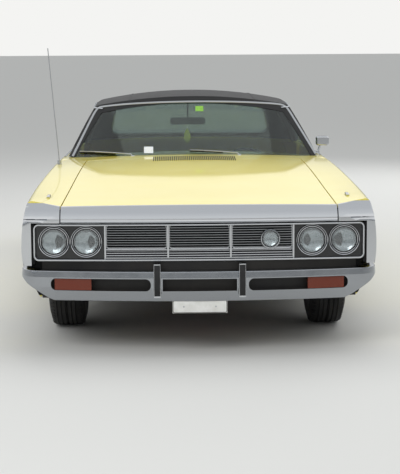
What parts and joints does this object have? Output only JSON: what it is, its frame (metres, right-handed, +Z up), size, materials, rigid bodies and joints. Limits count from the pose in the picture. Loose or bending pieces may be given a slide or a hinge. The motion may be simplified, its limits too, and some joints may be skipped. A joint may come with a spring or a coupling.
{
  "type": "two-door muscle car",
  "caption": "Full-size two-door hardtop car of the late 1960s with a long hood, vinyl roof, hollow cabin, opening doors, hood and trunk lid, and wheels that roll and steer.",
  "frame": {"origin": "on the ground, under the middle of the car's overall box", "axes": "+X to the car's left, -Y to the nose, +Z up"},
  "size_m": [2.0142, 5.608, 1.7002],
  "materials": {
    "body_paint": "pale butter yellow gloss paint",
    "tail_paint": "pale butter yellow gloss paint",
    "roof_vinyl": "grained black vinyl",
    "chrome": "polished chrome plate",
    "guard_rubber": "black moulded rubber with bright edges",
    "grille_metal": "dark argent bars in a bright frame",
    "window_glass": "clear lightly tinted glass",
    "lens_clear": "fluted clear lens",
    "lens_amber": "amber lens",
    "lens_red": "red lens",
    "mirror_glass": "dark case with a silvered face",
    "black_sheet": "satin black chassis paint",
    "floor_paint": "dark floor with carpet above",
    "engine_paint": "engine enamel",
    "dash_plastic": "black padded plastic",
    "seat_vinyl": "black vinyl upholstery",
    "wiper_metal": "dull bright metal",
    "forged_steel": "dark forged steel",
    "wheel_metal": "bright wheel cover over a steel rim",
    "tyre": "black tyre"
  },
  "bodies": {
    "chassis": {"floor": "floor_paint", "frame": "black_sheet", "cowl": "body_paint", "bay_panels": "black_sheet", "filler_panel": "black_sheet", "fender_left": "body_paint", "fender_right": "body_paint", "quarter_left": "body_paint", "quarter_right": "body_paint", "roof": "roof_vinyl", "windscreen": "window_glass", "rear_window": "window_glass", "quarter_glass": "window_glass", "grille": "grille_metal", "lamp_rings": "chrome", "lamp_lenses": "lens_clear", "front_bumper": "chrome", "bumper_guards": "guard_rubber", "front_turn_lamps": "lens_amber", "fender_caps": "chrome", "rear_bumper": "chrome", "tail_panel": "tail_paint", "tail_lamps": "lens_red", "dashboard": "dash_plastic", "inside_mirror": "mirror_glass", "seats": "seat_vinyl", "wipers": "wiper_metal", "antenna": "wiper_metal", "front_suspension": "black_sheet", "rear_axle": "black_sheet", "engine": "engine_paint", "exhaust": "black_sheet", "fuel_tank": "black_sheet"},
    "door_left": {"door_left": "body_paint", "door_glass_left": "window_glass", "door_handle_left": "chrome", "door_mirror": "chrome"},
    "door_right": {"door_right": "body_paint", "door_glass_right": "window_glass", "door_handle_right": "chrome"},
    "hood": {"hood": "body_paint", "hood_lip": "chrome"},
    "trunk_lid": {"trunk_lid": "body_paint"},
    "steering_wheel": {"steering_wheel": "dash_plastic"},
    "tie_rod": {"tie_rod": "forged_steel"},
    "knuckle_left": {"knuckle_left": "forged_steel"},
    "knuckle_right": {"knuckle_right": "forged_steel"},
    "wheel_front_left": {"wheel_front_left": "wheel_metal", "tyre_front_left": "tyre"},
    "wheel_front_right": {"wheel_front_right": "wheel_metal", "tyre_front_right": "tyre"},
    "wheel_rear_left": {"wheel_rear_left": "wheel_metal", "tyre_rear_left": "tyre"},
    "wheel_rear_right": {"wheel_rear_right": "wheel_metal", "tyre_rear_right": "tyre"}
  },
  "joints": [
    {"name": "steer_left", "type": "hinge", "parent": "chassis", "child": "knuckle_left", "pos_m": [0.7, -1.804, 0.357], "axis": [0, 0, 1], "range_deg": [-30, 30]},
    {"name": "steer_right", "type": "hinge", "parent": "chassis", "child": "knuckle_right", "pos_m": [-0.7, -1.804, 0.357], "axis": [0, 0, 1], "range_deg": [-30, 30]},
    {"name": "steering_wheel_turn", "type": "hinge", "parent": "chassis", "child": "steering_wheel", "pos_m": [0.38, -0.4, 0.8], "axis": [0, 0.9397, 0.342], "range_deg": [-481, 481]},
    {"name": "tie_rod_slide", "type": "slide", "parent": "chassis", "child": "tie_rod", "axis": [1, 0, 0], "range_m": [-0.0755, 0.0755]},
    {"name": "wheel_front_left_spin", "type": "hinge", "parent": "knuckle_left", "child": "wheel_front_left", "pos_m": [0.7885, -1.804, 0.357], "axis": [1, 0, 0], "continuous": true},
    {"name": "wheel_front_right_spin", "type": "hinge", "parent": "knuckle_right", "child": "wheel_front_right", "pos_m": [-0.7885, -1.804, 0.357], "axis": [1, 0, 0], "continuous": true},
    {"name": "wheel_rear_left_spin", "type": "hinge", "parent": "chassis", "child": "wheel_rear_left", "pos_m": [0.7725, 1.295, 0.357], "axis": [1, 0, 0], "continuous": true},
    {"name": "wheel_rear_right_spin", "type": "hinge", "parent": "chassis", "child": "wheel_rear_right", "pos_m": [-0.7725, 1.295, 0.357], "axis": [1, 0, 0], "continuous": true},
    {"name": "door_left_swing", "type": "hinge", "parent": "chassis", "child": "door_left", "pos_m": [1.007, -0.96, 0.62], "axis": [0, 0, -1], "range_deg": [0, 65]},
    {"name": "door_right_swing", "type": "hinge", "parent": "chassis", "child": "door_right", "pos_m": [-1.007, -0.96, 0.62], "axis": [0, 0, 1], "range_deg": [0, 65]},
    {"name": "hood_lift", "type": "hinge", "parent": "chassis", "child": "hood", "pos_m": [0, -1.089, 0.99], "axis": [-1, 0, 0], "range_deg": [0, 50]},
    {"name": "trunk_lid_lift", "type": "hinge", "parent": "chassis", "child": "trunk_lid", "pos_m": [0, 1.3985, 0.976], "axis": [1, 0, 0], "range_deg": [0, 70]}
  ],
  "couplings": [
    {"joint": "steer_right", "follows": "steer_left", "ratio": 1},
    {"joint": "steering_wheel_turn", "follows": "steer_left", "ratio": 16},
    {"joint": "tie_rod_slide", "follows": "steer_left", "m_per_rad": -0.1432}
  ]
}
